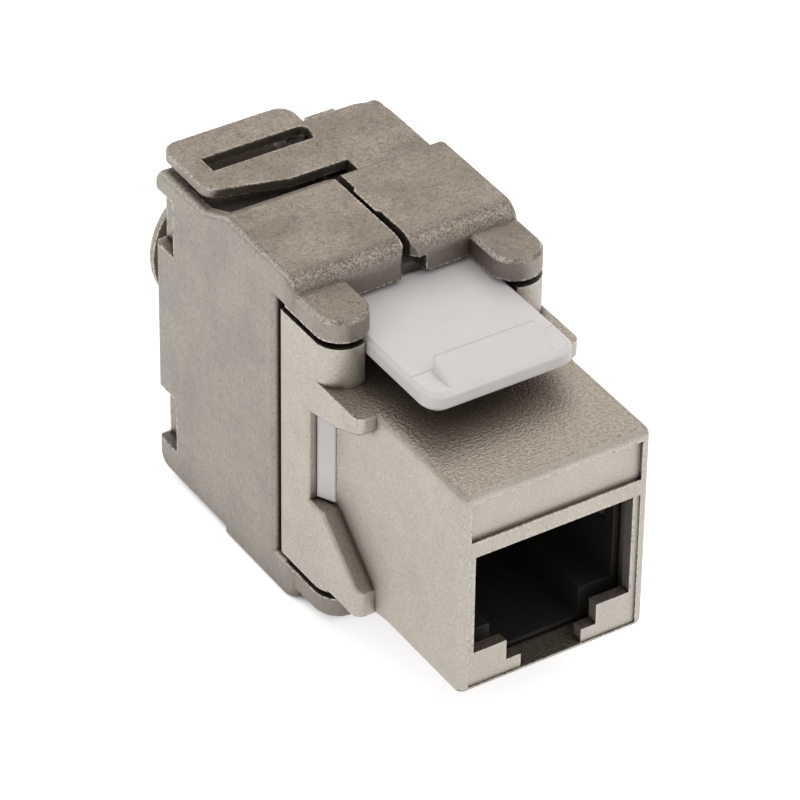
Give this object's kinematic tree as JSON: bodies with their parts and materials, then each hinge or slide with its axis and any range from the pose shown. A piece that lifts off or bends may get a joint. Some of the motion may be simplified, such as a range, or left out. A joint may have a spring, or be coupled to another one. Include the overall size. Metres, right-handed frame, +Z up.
{
  "type": "shielded keystone jack",
  "caption": "Shielded keystone jack with a cast nose and plug port, hinged rear doors that close round the cable, and a sprung top latch that locks it in a panel opening.",
  "frame": {"origin": "middle of the nose, on the plane where the panel meets the stops of the cheeks", "axes": "+X to the right seen from the plug side, +Y from the plug side to the cable, +Z up to the release latch"},
  "size_m": [0.0174, 0.0421, 0.0266],
  "materials": {
    "cast_front": "satin nickel on zinc casting",
    "cast_door": "satin nickel on zinc casting",
    "latch_plastic": "satin moulded",
    "carrier_plastic": "satin moulded",
    "manager_plastic": "satin moulded",
    "insert_plastic": "matte moulded",
    "board_laminate": "solder-masked laminate",
    "contact_metal": "gold-plated strip",
    "terminal_metal": "tin-plated strip",
    "spring_metal": "nickel-plated strip"
  },
  "bodies": {
    "housing": {"front_housing": "cast_front", "contact_insert": "insert_plastic", "circuit_board": "board_laminate", "terminal_carrier": "carrier_plastic", "wire_manager": "manager_plastic", "ground_spring_left": "spring_metal", "ground_spring_right": "spring_metal", "contact_spring_1": "contact_metal", "contact_spring_2": "contact_metal", "contact_spring_3": "contact_metal", "contact_spring_4": "contact_metal", "contact_spring_5": "contact_metal", "contact_spring_6": "contact_metal", "contact_spring_7": "contact_metal", "contact_spring_8": "contact_metal", "idc_terminal_1": "terminal_metal", "idc_terminal_2": "terminal_metal", "idc_terminal_3": "terminal_metal", "idc_terminal_4": "terminal_metal", "idc_terminal_5": "terminal_metal", "idc_terminal_6": "terminal_metal", "idc_terminal_7": "terminal_metal", "idc_terminal_8": "terminal_metal"},
    "left_door": {"left_door": "cast_door"},
    "right_door": {"right_door": "cast_door"},
    "latch": {"release_latch": "latch_plastic"}
  },
  "joints": [
    {"name": "left_door_hinge", "type": "hinge", "parent": "housing", "child": "left_door", "pos_m": [-0.0067, 0.0053, 0.0012], "axis": [0, 0, 1], "range_deg": [0, 95]},
    {"name": "right_door_hinge", "type": "hinge", "parent": "housing", "child": "right_door", "pos_m": [0.0067, 0.0053, 0.0012], "axis": [0, 0, -1], "range_deg": [0, 95]},
    {"name": "latch_flex", "type": "hinge", "parent": "housing", "child": "latch", "pos_m": [0, 0.0085, 0.0106], "axis": [1, 0, 0], "range_deg": [0, 7], "stiffness_Nm_per_rad": 0.05}
  ]
}
